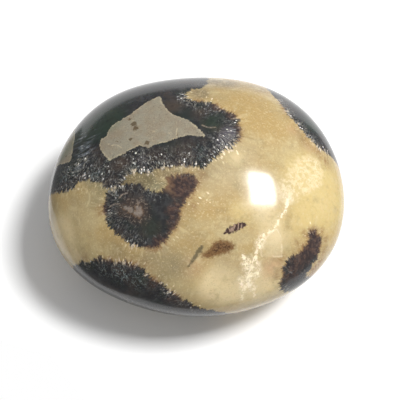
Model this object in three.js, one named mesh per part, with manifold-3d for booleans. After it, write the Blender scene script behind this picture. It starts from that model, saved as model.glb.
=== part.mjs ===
// A polished septarian pebble: one piece of stone, tumbled to a thick rounded oval that fits the palm.
// Millimetres, +Z up. The origin is on the resting face, under the middle of the stone, and the length runs along X.
import * as THREE from "three";
import { mergeVertices } from "three/addons/utils/BufferGeometryUtils.js";
import Module from "manifold-3d";

// Driving dimensions: the stone's overall size.
const LENGTH = 64;
const WIDTH = 56;
const HEIGHT = 34;

// The small flat that polishing leaves on the underside, as the depth that it takes off the round form.
const REST_DEPTH = 0.5;

// How far the shoulders, half way between the rim and the poles, swell past a plain ellipsoid.
const SHOULDER_SWELL = 0.26;

// The swells that turn the ellipsoid into a free form. Each has its lobes around the vertical axis, the height of
// a lobe in millimetres, the bearing of one lobe from +X in degrees, and how it changes with height: "rim" fades
// from the rim to the poles, "lean" does so too but is raised above the rim and sunk below it, and "crown" is
// raised on the upper half only, most of all near the top.
const SWELLS = [
  { lobes: 2, height: 0.26, bearing: 68, kind: "rim" },
  { lobes: 3, height: 0.22, bearing: -36, kind: "rim" },
  { lobes: 4, height: 0.33, bearing: 45, kind: "rim" },
  { lobes: 5, height: 0.24, bearing: -16, kind: "rim" },
  { lobes: 6, height: 0.08, bearing: 25, kind: "rim" },
  { lobes: 1, height: 1.0, bearing: 185, kind: "lean" },
  { lobes: 2, height: 1.03, bearing: 28, kind: "lean" },
  { lobes: 3, height: 0.51, bearing: 13, kind: "lean" },
  { lobes: 1, height: 1.5, bearing: 86, kind: "crown" },
  { lobes: 2, height: 2.6, bearing: 13, kind: "crown" },
];

// How much rounder the crown is than the underside.
const CROWN_SWELL = 0.46;

// Each face of an icosahedron is split into FINENESS squared triangles.
const FINENESS = 15;

const STONE_COLOUR = 0xd2b57c;
const STONE_ROUGHNESS = 0.12;

const meanRadius = (LENGTH + WIDTH) / 4;
const degrees = Math.PI / 180;

// The radius of the round form along a unit direction, before the resting face is cut.
function radiusAlong(direction) {
  const { x, y, z } = direction;
  const ellipsoid = 1 / Math.hypot((2 * x) / LENGTH, (2 * y) / WIDTH, (2 * z) / HEIGHT);
  const rimShare = Math.hypot(x, y);
  const bearing = Math.atan2(y, x);
  const fades = { rim: 1, lean: z, crown: Math.max(z, 0) ** 3 };
  let swell = SHOULDER_SWELL * 4 * z * z * (1 - z * z) + CROWN_SWELL * z * z * z;
  for (const { lobes, height, bearing: lobeBearing, kind } of SWELLS) {
    const around = Math.cos(lobes * (bearing - lobeBearing * degrees));
    swell += height * rimShare ** lobes * around * fades[kind];
  }
  return ellipsoid * (1 + swell / meanRadius);
}

// The round form as a closed geometry, scaled so that its box measures LENGTH, WIDTH, and HEIGHT with REST_DEPTH
// below the ground, and centred over the origin.
function roundForm() {
  const icosahedron = new THREE.IcosahedronGeometry(1, FINENESS - 1);
  icosahedron.deleteAttribute("normal");
  icosahedron.deleteAttribute("uv");
  const form = mergeVertices(icosahedron);
  const places = form.getAttribute("position");
  const point = new THREE.Vector3();
  for (let i = 0; i < places.count; i++) {
    point.fromBufferAttribute(places, i).normalize();
    point.multiplyScalar(radiusAlong(point));
    places.setXYZ(i, point.x, point.y, point.z);
  }
  form.computeBoundingBox();
  const size = form.boundingBox.getSize(new THREE.Vector3());
  const centre = form.boundingBox.getCenter(new THREE.Vector3());
  form.translate(-centre.x, -centre.y, -form.boundingBox.min.z);
  form.scale(LENGTH / size.x, WIDTH / size.y, (HEIGHT + REST_DEPTH) / size.z);
  form.translate(0, 0, -REST_DEPTH);
  return form;
}

// A closed geometry as a solid that can be cut.
function solidOf(wasm, geometry) {
  return new wasm.Manifold(
    new wasm.Mesh({
      numProp: 3,
      vertProperties: new Float32Array(geometry.getAttribute("position").array),
      triVerts: new Uint32Array(geometry.index.array),
    }),
  );
}

// A solid as a geometry.
function geometryOf(solid) {
  const mesh = solid.getMesh();
  const geometry = new THREE.BufferGeometry();
  geometry.setAttribute("position", new THREE.BufferAttribute(mesh.vertProperties, mesh.numProp));
  geometry.setIndex(new THREE.BufferAttribute(mesh.triVerts, 1));
  geometry.computeVertexNormals();
  return geometry;
}

// The block of ground that takes the resting face off the round form.
function ground() {
  const block = new THREE.BoxGeometry(2 * LENGTH, 2 * WIDTH, HEIGHT);
  block.deleteAttribute("normal");
  block.deleteAttribute("uv");
  block.translate(0, 0, -HEIGHT / 2);
  return mergeVertices(block);
}

// The whole stone, cut flat where it rests.
function stone(wasm) {
  const cut = solidOf(wasm, roundForm()).subtract(solidOf(wasm, ground()));
  const finish = new THREE.MeshStandardMaterial({
    color: STONE_COLOUR,
    roughness: STONE_ROUGHNESS,
    metalness: 0,
  });
  const pebble = new THREE.Mesh(geometryOf(cut), finish);
  pebble.name = "pebble";
  return pebble;
}

const wasm = await Module();
wasm.setup();

const part = new THREE.Group();
part.add(stone(wasm));

export default part;
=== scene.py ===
"""A polished septarian pebble on a pale floor: honey calcite, dark needle crystals and a core of grey clay.

Sizes are in millimetres while the stone is being worked out, and in metres once they reach a mesh.
"""

import logging
import math
from dataclasses import dataclass, field, fields
from enum import Enum

import bpy
import numpy as np
from mathutils import Color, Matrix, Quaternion, Vector
from mathutils.bvhtree import BVHTree


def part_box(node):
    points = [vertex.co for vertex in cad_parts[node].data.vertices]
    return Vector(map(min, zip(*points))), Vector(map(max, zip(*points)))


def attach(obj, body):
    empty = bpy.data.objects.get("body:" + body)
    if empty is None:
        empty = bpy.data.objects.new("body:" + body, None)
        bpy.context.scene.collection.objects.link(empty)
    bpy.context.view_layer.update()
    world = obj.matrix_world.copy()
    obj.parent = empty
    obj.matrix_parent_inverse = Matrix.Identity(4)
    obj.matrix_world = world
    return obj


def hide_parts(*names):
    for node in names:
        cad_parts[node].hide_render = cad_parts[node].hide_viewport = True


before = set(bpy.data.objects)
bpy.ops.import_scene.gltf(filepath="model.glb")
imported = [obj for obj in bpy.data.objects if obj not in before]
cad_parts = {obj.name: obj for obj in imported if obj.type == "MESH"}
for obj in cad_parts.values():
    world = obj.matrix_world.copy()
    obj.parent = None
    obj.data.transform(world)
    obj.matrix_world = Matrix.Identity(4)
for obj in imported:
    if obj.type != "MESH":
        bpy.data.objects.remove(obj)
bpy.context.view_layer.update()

log = logging.getLogger("pebble")

# A millimetre in metres, and the fullest that a screen colour's part can be.
MM = 0.001
FULL = 255


# ---------------------------------------------------------------- writing node trees


class Term:
    """A socket in a node tree, written with the usual signs of arithmetic."""

    def __init__(self, graph: "Graph", socket: bpy.types.NodeSocket) -> None:
        """Keeps the tree and the socket."""
        self.graph = graph
        self.socket = socket

    def __add__(self, other: "Term | float") -> "Term":
        """The sum."""
        return self.graph.math("ADD", self, other)

    __radd__ = __add__

    def __sub__(self, other: "Term | float") -> "Term":
        """The difference."""
        return self.graph.math("SUBTRACT", self, other)

    def __rsub__(self, other: float) -> "Term":
        """The difference from a number."""
        return self.graph.math("SUBTRACT", other, self)

    def __mul__(self, other: "Term | float") -> "Term":
        """The product."""
        return self.graph.math("MULTIPLY", self, other)

    __rmul__ = __mul__

    def __truediv__(self, other: "Term | float") -> "Term":
        """The quotient."""
        return self.graph.math("DIVIDE", self, other)

    def __rtruediv__(self, other: float) -> "Term":
        """A number divided by this."""
        return self.graph.math("DIVIDE", other, self)

    def __pow__(self, other: "Term | float") -> "Term":
        """The power."""
        return self.graph.math("POWER", self, other)

    def __abs__(self) -> "Term":
        """The size without its sign."""
        return self.graph.math("ABSOLUTE", self)

    def greater(self, other: "Term | float") -> "Term":
        """The greater of this and another."""
        return self.graph.math("MAXIMUM", self, other)

    def capped(self) -> "Term":
        """This, but at most 1."""
        return self.graph.math("MINIMUM", self, 1.0)

    def ramp(self, start: float, end: float, least: float = 0.0, most: float = 1.0) -> "Term":
        """A smooth step over this value.

        Args:
            start: the value where the step starts.
            end: the value where it ends, which may be the smaller of the two.
            least: what it gives before the start.
            most: what it gives after the end.

        Returns:
            A number from least to most.
        """
        if end < start:
            return self.ramp(end, start, most, least)
        made = self.graph.node("ShaderNodeMapRange", {"interpolation_type": "SMOOTHSTEP"}, {
            "Value": self, "From Min": start, "From Max": end, "To Min": least, "To Max": most})
        return Term(self.graph, made.outputs["Result"])


class Arrow(Term):
    """A vector socket. Its sums and products stay vectors."""

    def __add__(self, other: "Arrow") -> "Arrow":
        """The sum of two vectors."""
        return self.graph.vector_math("ADD", self, other)

    def __sub__(self, other: "Arrow") -> "Arrow":
        """The difference of two vectors."""
        return self.graph.vector_math("SUBTRACT", self, other)

    def __mul__(self, other: "Term | float") -> "Arrow":
        """The vector made longer or shorter."""
        made = self.graph.node("ShaderNodeVectorMath", {"operation": "SCALE"},
                               {"Vector": self, "Scale": other})
        return Arrow(self.graph, made.outputs["Vector"])

    def parts(self) -> tuple[Term, Term, Term]:
        """The X, Y and Z parts, one number each."""
        split = self.graph.node("ShaderNodeSeparateXYZ", {}, {"Vector": self})
        return tuple(Term(self.graph, split.outputs[axis]) for axis in "XYZ")


class Graph:
    """A shader or geometry node tree that is written as expressions.

    AMOUNT, FIRST, SECOND, MIXED: the Mix node's sockets for two colours, which share their names with others.
    """

    AMOUNT, FIRST, SECOND, MIXED = 0, 6, 7, 2

    def __init__(self, tree: bpy.types.NodeTree) -> None:
        """Takes a tree and empties it."""
        self.tree = tree
        tree.nodes.clear()

    def node(self, kind: str, settings: dict, sockets: dict) -> bpy.types.Node:
        """Adds one node.

        Args:
            kind: the node's type name.
            settings: its properties, which are set first.
            sockets: a value, a colour, a Term or an output socket for each input, by name or by number.

        Returns:
            The new node.
        """
        made = self.tree.nodes.new(kind)
        for name, value in settings.items():
            setattr(made, name, value)
        for name, value in sockets.items():
            socket = made.inputs[name]
            if isinstance(value, Term):
                value = value.socket
            if isinstance(value, bpy.types.NodeSocket):
                self.tree.links.new(value, socket)
            else:
                socket.default_value = value
        return made

    def math(self, operation: str, *values: Term | float) -> Term:
        """One sum on numbers, by the Math node's name for it."""
        made = self.node("ShaderNodeMath", {"operation": operation}, dict(enumerate(values)))
        return Term(self, made.outputs[0])

    def vector_math(self, operation: str, *values: Arrow) -> Arrow:
        """One sum on vectors, by the Vector Math node's name for it."""
        made = self.node("ShaderNodeVectorMath", {"operation": operation}, dict(enumerate(values)))
        return Arrow(self, made.outputs["Vector"])

    def arrow(self, x: Term | float, y: Term | float, z: Term | float) -> Arrow:
        """A vector put together from its three parts."""
        made = self.node("ShaderNodeCombineXYZ", {}, {"X": x, "Y": y, "Z": z})
        return Arrow(self, made.outputs[0])

    def blend(self, amount: Term | float, first: Arrow | tuple, second: Arrow | tuple) -> Arrow:
        """The first colour at an amount of 0, the second at 1, and a mixture between."""
        sockets = {self.AMOUNT: amount, self.FIRST: first, self.SECOND: second}
        return Arrow(self, self.node("ShaderNodeMix", {"data_type": "RGBA"}, sockets).outputs[self.MIXED])


def paint(red: int, green: int, blue: int) -> tuple[float, float, float, float]:
    """A colour as seen on a screen, turned into linear light.

    Args:
        red: 0 to FULL.
        green: 0 to FULL.
        blue: 0 to FULL.

    Returns:
        The colour for a colour socket.
    """
    shown = Color([part / FULL for part in (red, green, blue)])
    return (*shown.from_srgb_to_scene_linear(), 1.0)


# ---------------------------------------------------------------- the studio


@dataclass(frozen=True)
class Sight:
    """The line along which the stone is shown, and along which its face was drawn.

    elevation: how steeply it looks down, in degrees.
    distance: how far the eye is from the middle, in millimetres.
    middle: the middle of the stone, in millimetres.
    """

    elevation: float = 62.0
    distance: float = 242.0
    middle: tuple[float, float, float] = (0.0, 0.0, 16.4)

    @property
    def back(self) -> Vector:
        """The direction from the stone to the eye."""
        up = math.radians(self.elevation)
        return Vector((0.0, -math.cos(up), math.sin(up)))

    @property
    def up(self) -> Vector:
        """The direction that looks upward from the eye."""
        up = math.radians(self.elevation)
        return Vector((0.0, math.sin(up), math.cos(up)))

    @property
    def eye(self) -> Vector:
        """Where the eye is, in millimetres."""
        return Vector(self.middle) + self.back * self.distance

    def on_plane(self, right: float, up: float) -> Vector:
        """The place so many millimetres right and up of the middle, square to the line of sight."""
        return Vector(self.middle) + Vector((right, 0.0, 0.0)) + self.up * up


SIGHT = Sight()


@dataclass
class Studio:
    """A white sheet under the stone, one soft window of light, a dim room and the camera.

    sheet: the sheet's corners, in millimetres.
    lens: the camera's focal length, in millimetres.
    aim_right, aim_up: how far past the stone's middle the camera looks, in millimetres.
    light_direction: where the light stands, as seen from the stone.
    light_distance, light_width, light_depth: how far it is and how large, in metres.
    light_roll, light_power: how it is turned, in degrees, and its power in watts.
    room_low, room_high: the room's strength at the horizon and above.
    room_rise: how high the room is at its full strength, with 1 for straight up.
    room_right: how much stronger the room is on the right.
    clip: the nearest and the farthest that the camera sees, in metres.
    """

    sheet: tuple[tuple[float, float], ...] = (
        (-22, -44), (44, -44), (58, -30), (62, 40), (66, 60), (200, 300), (-300, 300), (-60, 62), (-48, 38),
        (-48, 12), (-80, 4), (-80, -16), (-32, -31))
    lens: float = 100.0
    aim_right: float = 0.75
    aim_up: float = -1.5
    light_direction: tuple[float, float, float] = (0.462, 0.034, 0.886)
    light_distance: float = 1.2
    light_roll: float = 4.0
    light_width: float = 0.305
    light_depth: float = 0.285
    light_power: float = 14.6
    room_low: float = 0.4
    room_high: float = 0.5
    room_rise: float = 0.75
    room_right: float = 0.35
    floor_tone: float = 0.9
    floor_roughness: float = 0.9
    floor_shine: float = 0.2
    clip: tuple[float, float] = (0.01, 20.0)

    def build(self) -> None:
        """Makes the floor, the light, the room and the camera."""
        self.floor()
        self.window()
        self.room()
        self.camera()
        bpy.context.scene.view_settings.view_transform = "Standard"

    def floor(self) -> None:
        """A plain pale floor: a sheet that ends a little way in front of the stone and runs on behind it."""
        mesh = bpy.data.meshes.new("floor")
        corners = [(x * MM, y * MM, 0.0) for x, y in self.sheet]
        mesh.from_pydata(corners, [], [tuple(range(len(corners)))])
        floor = bpy.data.objects.new("floor", mesh)
        bpy.context.scene.collection.objects.link(floor)
        material = bpy.data.materials.new("floor_paint")
        material.use_nodes = True
        graph = Graph(material.node_tree)
        shader = graph.node("ShaderNodeBsdfPrincipled", {}, {
            "Base Color": (self.floor_tone, self.floor_tone, self.floor_tone, 1.0),
            "Roughness": self.floor_roughness,
            "Specular IOR Level": self.floor_shine,
        })
        graph.node("ShaderNodeOutputMaterial", {}, {"Surface": shader.outputs[0]})
        mesh.materials.append(material)

    def window(self) -> None:
        """The soft light, which is also the bright shape reflected in the stone."""
        light = bpy.data.lights.new("window", "AREA")
        light.shape = "RECTANGLE"
        light.size = self.light_width
        light.size_y = self.light_depth
        light.energy = self.light_power
        lamp = bpy.data.objects.new("window", light)
        direction = Vector(self.light_direction).normalized()
        lamp.location = Vector(SIGHT.middle) * MM + direction * self.light_distance
        lamp.rotation_mode = "QUATERNION"
        roll = Quaternion((0.0, 0.0, 1.0), math.radians(self.light_roll))
        lamp.rotation_quaternion = direction.to_track_quat("Z", "Y") @ roll
        bpy.context.scene.collection.objects.link(lamp)

    def room(self) -> None:
        """A dim room, paler towards the floor, that the camera itself sees as white."""
        world = bpy.data.worlds.new("room")
        world.use_nodes = True
        graph = Graph(world.node_tree)
        where = Arrow(graph, graph.node("ShaderNodeTexCoord", {}, {}).outputs["Generated"])
        right, _, height = where.parts()
        rise = height.ramp(0.0, self.room_rise)
        strength = (self.room_low + (self.room_high - self.room_low) * rise) * (1.0 + right * self.room_right)
        seen = Term(graph, graph.node("ShaderNodeLightPath", {}, {}).outputs["Is Camera Ray"])
        shown = strength * (1.0 - seen) + seen
        sky = graph.node("ShaderNodeBackground", {}, {"Color": (1.0, 1.0, 1.0, 1.0), "Strength": shown})
        graph.node("ShaderNodeOutputWorld", {}, {"Surface": sky.outputs[0]})
        bpy.context.scene.world = world

    def camera(self) -> None:
        """The camera, on the line of sight."""
        data = bpy.data.cameras.new("camera")
        data.lens = self.lens
        data.clip_start, data.clip_end = self.clip
        camera = bpy.data.objects.new("camera", data)
        aim = SIGHT.on_plane(self.aim_right, self.aim_up)
        camera.location = SIGHT.eye * MM
        camera.rotation_mode = "QUATERNION"
        camera.rotation_quaternion = (SIGHT.eye - aim).to_track_quat("Z", "Y")
        bpy.context.scene.collection.objects.link(camera)
        bpy.context.scene.camera = camera


# ---------------------------------------------------------------- the stone's form


class Fade(Enum):
    """How a swell changes with height."""

    RIM = "rim"
    LEAN = "lean"
    CROWN = "crown"


@dataclass(frozen=True)
class Swell:
    """A gentle swell of the form, repeated round the vertical axis.

    lobes: how many times it is repeated.
    height: how far it stands out, in millimetres.
    bearing: where one of its lobes is, in degrees from +X.
    fade: how it changes with height.
    """

    lobes: int
    height: float
    bearing: float
    fade: Fade


@dataclass
class Form:
    """The rounded stone, as a rule that Geometry Nodes follow. Its sizes are in millimetres.

    low, high: the corners of the box that the stone fills, in metres.
    rest_depth, rest_softness: how much the resting face takes off the round form, and how softly it ends.
    shoulder_swell, crown_swell: how far the shoulders and the crown swell past a plain ellipsoid.
    fineness: how many squares there are along each side of the cube that the form starts from.
    swells: what makes the form a free one.
    """

    low: Vector
    high: Vector
    rest_depth: float = 0.5
    rest_softness: float = 0.25
    shoulder_swell: float = 0.26
    crown_swell: float = 0.46
    fineness: int = 125
    swells: tuple[Swell, ...] = (
        Swell(2, 0.26, 68, Fade.RIM),
        Swell(3, 0.22, -36, Fade.RIM),
        Swell(4, 0.33, 45, Fade.RIM),
        Swell(5, 0.24, -16, Fade.RIM),
        Swell(6, 0.08, 25, Fade.RIM),
        Swell(1, 1.0, 185, Fade.LEAN),
        Swell(2, 1.03, 28, Fade.LEAN),
        Swell(3, 0.51, 13, Fade.LEAN),
        Swell(1, 1.5, 86, Fade.CROWN),
        Swell(2, 2.6, 13, Fade.CROWN),
    )

    def inputs(self) -> dict[str, float]:
        """What the tree is given.

        Returns:
            Its named inputs and their values, in metres and radians.
        """
        size = self.high - self.low
        values = {
            "Length": size.x,
            "Width": size.y,
            "Height": size.z,
            "Rest depth": self.rest_depth * MM,
            "Rest softness": self.rest_softness * MM,
            "Shoulder swell": self.shoulder_swell * MM,
            "Crown swell": self.crown_swell * MM,
        }
        for swell in self.swells:
            title = f"{swell.fade.value} swell of {swell.lobes}"
            values[f"Height of {title}"] = swell.height * MM
            values[f"Bearing of {title}"] = math.radians(swell.bearing)
        return values

    def tree(self, material: bpy.types.Material) -> bpy.types.NodeTree:
        """Builds the node tree.

        Args:
            material: what the tree's last node gives to the stone.

        Returns:
            The tree, with its inputs named and set.
        """
        tree = bpy.data.node_groups.new("tumbled_form", "GeometryNodeTree")
        graph = Graph(tree)
        for name, value in self.inputs().items():
            socket = tree.interface.new_socket(name, in_out="INPUT", socket_type="NodeSocketFloat")
            socket.default_value = value
        tree.interface.new_socket("Geometry", in_out="OUTPUT", socket_type="NodeSocketGeometry")
        given = graph.node("NodeGroupInput", {}, {})
        size = {name: Term(graph, given.outputs[name]) for name in self.inputs()}

        rows = {f"Vertices {axis}": self.fineness + 1 for axis in "XYZ"}
        cube = graph.node("GeometryNodeMeshCube", {}, {"Size": (2, 2, 2), **rows})
        raw = self.place(graph, cube.outputs["Mesh"], self.round_form(graph, size))
        ground = self.place(graph, raw, self.to_size(graph, raw, size))
        smooth = graph.node("GeometryNodeSetShadeSmooth", {}, {"Geometry": ground})
        whole = graph.node("GeometryNodeRealizeInstances", {}, {"Geometry": smooth.outputs["Geometry"]})
        dressed = graph.node("GeometryNodeSetMaterial", {},
                             {"Geometry": whole.outputs["Geometry"], "Material": material})
        graph.node("NodeGroupOutput", {}, {"Geometry": dressed.outputs["Geometry"]})
        return tree

    def place(self, graph: Graph, mesh: bpy.types.NodeSocket, position: Arrow) -> bpy.types.NodeSocket:
        """Moves every point of a mesh to a new position."""
        moved = graph.node("GeometryNodeSetPosition", {}, {"Geometry": mesh, "Position": position})
        return moved.outputs["Geometry"]

    def round_form(self, graph: Graph, size: dict[str, Term]) -> Arrow:
        """The ellipsoid with its swells, before it is set on its resting face.

        Args:
            graph: the tree.
            size: the tree's inputs.

        Returns:
            The place of each point of a cube, once it is swelled to the stone.
        """
        corner = Arrow(graph, graph.node("GeometryNodeInputPosition", {}, {}).outputs[0])
        evened = [graph.math("TANGENT", part * (math.pi / 4)) for part in corner.parts()]
        direction = graph.vector_math("NORMALIZE", graph.arrow(*evened))
        x, y, z = direction.parts()
        shares = (x * 2 / size["Length"]) ** 2 + (y * 2 / size["Width"]) ** 2 + (z * 2 / size["Height"]) ** 2
        ellipsoid = 1.0 / graph.math("SQRT", shares)
        rim_share = graph.math("SQRT", x * x + y * y)
        bearing = graph.math("ARCTAN2", y, x)
        above = z.greater(0.0)
        fades = {Fade.RIM: 1.0, Fade.LEAN: z, Fade.CROWN: above * above * above}
        swell = size["Shoulder swell"] * 4.0 * z * z * (1.0 - z * z) + size["Crown swell"] * z * z * z
        for lobe in self.swells:
            title = f"{lobe.fade.value} swell of {lobe.lobes}"
            around = graph.math("COSINE", (bearing - size[f"Bearing of {title}"]) * lobe.lobes)
            raised = size[f"Height of {title}"] * rim_share ** lobe.lobes * around
            swell = swell + raised * fades[lobe.fade]
        mean_radius = (size["Length"] + size["Width"]) / 4.0
        return direction * (ellipsoid * (1.0 + swell / mean_radius))

    def to_size(self, graph: Graph, raw: bpy.types.NodeSocket, size: dict[str, Term]) -> Arrow:
        """Sets the round form on the ground at its exact size.

        Args:
            graph: the tree.
            raw: the round form.
            size: the tree's inputs.

        Returns:
            The place of each point, with the small flat that the stone rests on.
        """
        box = graph.node("GeometryNodeBoundBox", {}, {"Geometry": raw})
        low = Arrow(graph, box.outputs["Min"])
        high = Arrow(graph, box.outputs["Max"])
        here = Arrow(graph, graph.node("GeometryNodeInputPosition", {}, {}).outputs[0])
        share = graph.vector_math("DIVIDE", here - low, high - low)
        x, y, z = share.parts()
        depth = size["Rest depth"]
        lowered = z * (size["Height"] + depth) - depth
        rested = graph.math("SMOOTH_MAX", lowered, 0.0, size["Rest softness"])
        return graph.arrow((x - 0.5) * size["Length"], (y - 0.5) * size["Width"], rested)

    def mesh(self, name: str, material: bpy.types.Material) -> bpy.types.Object:
        """Makes the stone's fine mesh.

        Args:
            name: the object's name.
            material: its finish.

        Returns:
            A plain mesh object, with no modifier left on it.
        """
        seed = bpy.data.objects.new(f"{name}_rule", bpy.data.meshes.new(f"{name}_rule"))
        bpy.context.scene.collection.objects.link(seed)
        modifier = seed.modifiers.new("form", "NODES")
        modifier.node_group = self.tree(material)
        values = self.inputs()
        for item in modifier.node_group.interface.items_tree:
            if item.in_out == "INPUT":
                modifier[item.identifier] = float(values[item.name])
        seed.data.update()
        graph = bpy.context.evaluated_depsgraph_get()
        data = bpy.data.meshes.new_from_object(seed.evaluated_get(graph))
        data.name = name
        bpy.data.objects.remove(seed)
        stone = bpy.data.objects.new(name, data)
        bpy.context.scene.collection.objects.link(stone)
        return stone


# ---------------------------------------------------------------- where the markings lie


@dataclass(frozen=True)
class Outline:
    """A line drawn on the stone.

    seen: its places on the face, in millimetres right and up of the middle, square to the line of sight.
    beyond: its further places round the stone, in degrees of bearing from +X and of height above the middle.
    """

    seen: tuple[tuple[float, float], ...] = ()
    beyond: tuple[tuple[float, float], ...] = ()


# Lines of one kind, and soft round spots of one tint. A spot is its place, as in an outline's seen side, its
# radius in millimetres and its strength.
Lines = tuple[Outline, ...]
Wash = tuple[tuple[float, float, float, float], ...]


class Surface:
    """The stone's surface in millimetres, and how far its points are from drawn lines.

    STEPS: how many points a drawn line has from one of its places to the next.
    REACH: the greatest distance that is told apart, in millimetres.
    CHUNK: how many points are measured at once.
    ASKEW: any direction that no patch's middle lies along.
    TINY: a length that is as good as none, which keeps a division from failing.
    """

    STEPS = 6
    REACH = 9.0
    CHUNK = 1500
    ASKEW = (0.3, 0.5, 0.8)
    TINY = 1e-9

    def __init__(self, stone: bpy.types.Object) -> None:
        """Reads the mesh.

        Args:
            stone: the stone's mesh object.
        """
        mesh = stone.data
        points = np.zeros(len(mesh.vertices) * 3)
        mesh.vertices.foreach_get("co", points)
        self.points = points.reshape(-1, 3) / MM
        faces = [tuple(face.vertices) for face in mesh.polygons]
        self.tree = BVHTree.FromPolygons([Vector(point) for point in self.points], faces)
        self.middle = np.array(SIGHT.middle)
        self.count = len(self.points)

    def seen(self, right: float, up: float) -> np.ndarray:
        """Where the sight line through a place on the drawing plane meets the stone.

        Args:
            right: millimetres right of the middle.
            up: millimetres up from the middle.

        Returns:
            The point, or the nearest one on the rim if the line misses the stone.
        """
        target = SIGHT.on_plane(right, up)
        ray = (target - SIGHT.eye).normalized()
        hit = self.tree.ray_cast(SIGHT.eye, ray)[0]
        if hit is None:
            hit = self.tree.find_nearest(target)[0]
        return np.array(hit)

    def around(self, bearing: float, height: float) -> np.ndarray:
        """Where a line from the stone's middle leaves it.

        Args:
            bearing: degrees from +X, counted towards +Y.
            height: degrees above the horizontal.

        Returns:
            The point.
        """
        turn, rise = math.radians(bearing), math.radians(height)
        ray = Vector((math.cos(turn) * math.cos(rise), math.sin(turn) * math.cos(rise), math.sin(rise)))
        start = Vector(SIGHT.middle)
        return np.array(self.tree.ray_cast(start, ray)[0])

    def line(self, outline: Outline, closed: bool) -> np.ndarray:
        """An outline as a smooth line of points on the stone.

        Args:
            outline: its places.
            closed: whether it comes back to its start.

        Returns:
            The points in order.
        """
        knots = [self.seen(*place) for place in outline.seen]
        knots += [self.around(*place) for place in outline.beyond]
        if closed:
            knots = [knots[-1], *knots, knots[0], knots[1]]
        else:
            knots = [2 * knots[0] - knots[1], *knots, 2 * knots[-1] - knots[-2]]
        points = []
        for before, start, end, after in zip(knots, knots[1:], knots[2:], knots[3:]):
            for step in range(self.STEPS):
                t = step / self.STEPS
                points.append(0.5 * (2 * start + (end - before) * t
                                     + (2 * before - 5 * start + 4 * end - after) * t * t
                                     + (3 * start - before - 3 * end + after) * t ** 3))
        if not closed:
            points.append(knots[-2])
        return np.array(points)

    def nearest(self, line: np.ndarray, closed: bool) -> tuple[np.ndarray, np.ndarray]:
        """How far each point is from a line, and the line's point nearest to it.

        Args:
            line: the line's points.
            closed: whether its end joins its start.

        Returns:
            The distances, at most REACH, and the nearest places.
        """
        starts = line if closed else line[:-1]
        steps = (np.roll(line, -1, axis=0) if closed else line[1:]) - starts[: len(line)]
        lengths = np.maximum((steps ** 2).sum(1), self.TINY)
        middle = line.mean(0)
        spread = np.linalg.norm(line - middle, axis=1).max() + self.REACH
        near = np.flatnonzero(np.linalg.norm(self.points - middle, axis=1) < spread)
        distance = np.full(self.count, self.REACH)
        foot = self.points.copy()
        for start in range(0, len(near), self.CHUNK):
            part = near[start:start + self.CHUNK]
            gap = self.points[part][:, None, :] - starts[None]
            share = np.clip((gap * steps).sum(2) / lengths, 0, 1)
            off = gap - share[..., None] * steps
            square = (off ** 2).sum(2)
            best = square.argmin(1)
            rows = np.arange(len(part))
            distance[part] = np.minimum(np.sqrt(square[rows, best]), self.REACH)
            foot[part] = self.points[part] - off[rows, best]
        return distance, foot

    def inside(self, line: np.ndarray) -> np.ndarray:
        """Which points a closed line goes round.

        Args:
            line: the line's points.

        Returns:
            True for each point on the side that holds the line's own middle.
        """
        def chart(points: np.ndarray) -> np.ndarray:
            """Lays points flat about the outline's middle, true to angle and bearing.

            Args:
                points: the points.

            Returns:
                Two numbers for each.
            """
            ways = points - self.middle
            ways = ways / np.linalg.norm(ways, axis=1, keepdims=True)
            turn = np.arccos(np.clip(ways @ pole, -1, 1))
            flat = np.stack([ways @ east, ways @ north], axis=1)
            return flat / np.maximum(np.linalg.norm(flat, axis=1, keepdims=True), self.TINY) * turn[:, None]

        pole = (line - self.middle).mean(0)
        pole = pole / np.linalg.norm(pole)
        east = np.cross(pole, self.ASKEW)
        east = east / np.linalg.norm(east)
        north = np.cross(pole, east)
        flat_line, flat_points = chart(line), chart(self.points)
        held = np.zeros(self.count, bool)
        reach = np.linalg.norm(flat_line, axis=1).max()
        near = np.flatnonzero(np.linalg.norm(flat_points, axis=1) <= reach)
        x, y = flat_points[near].T
        crossed = np.zeros(len(near), bool)
        for (ax, ay), (bx, by) in zip(flat_line, np.roll(flat_line, -1, axis=0)):
            spans = (ay > y) != (by > y)
            if ay != by:
                crossed ^= spans & (x < (bx - ax) * (y - ay) / (by - ay) + ax)
        held[near] = crossed
        return held

    def patch(self, outline: Outline) -> tuple[np.ndarray, np.ndarray]:
        """How deep each point lies in a patch.

        Args:
            outline: the patch's edge.

        Returns:
            The depth in millimetres, negative outside, and the place on the edge nearest to each point.
        """
        line = self.line(outline, closed=True)
        distance, foot = self.nearest(line, closed=True)
        return np.where(self.inside(line), distance, -distance), foot

    def deepest(self, outlines: Lines) -> np.ndarray:
        """How deep each point lies in the patch that holds it best, in millimetres."""
        return np.maximum.reduce([self.patch(outline)[0] for outline in outlines])

    def closest(self, outlines: Lines) -> np.ndarray:
        """How far each point is from the nearest of some open lines, in millimetres."""
        lines = [self.line(outline, closed=False) for outline in outlines]
        return np.minimum.reduce([self.nearest(line, closed=False)[0] for line in lines])

    def washed(self, wash: Wash) -> np.ndarray:
        """The sum of a wash's soft spots.

        Args:
            wash: the spots.

        Returns:
            A strength for each point.
        """
        total = np.zeros(self.count)
        for right, up, radius, strength in wash:
            away = np.linalg.norm(self.points - self.seen(right, up), axis=1) / radius
            total += strength * np.exp(-away ** 2)
        return total


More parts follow.
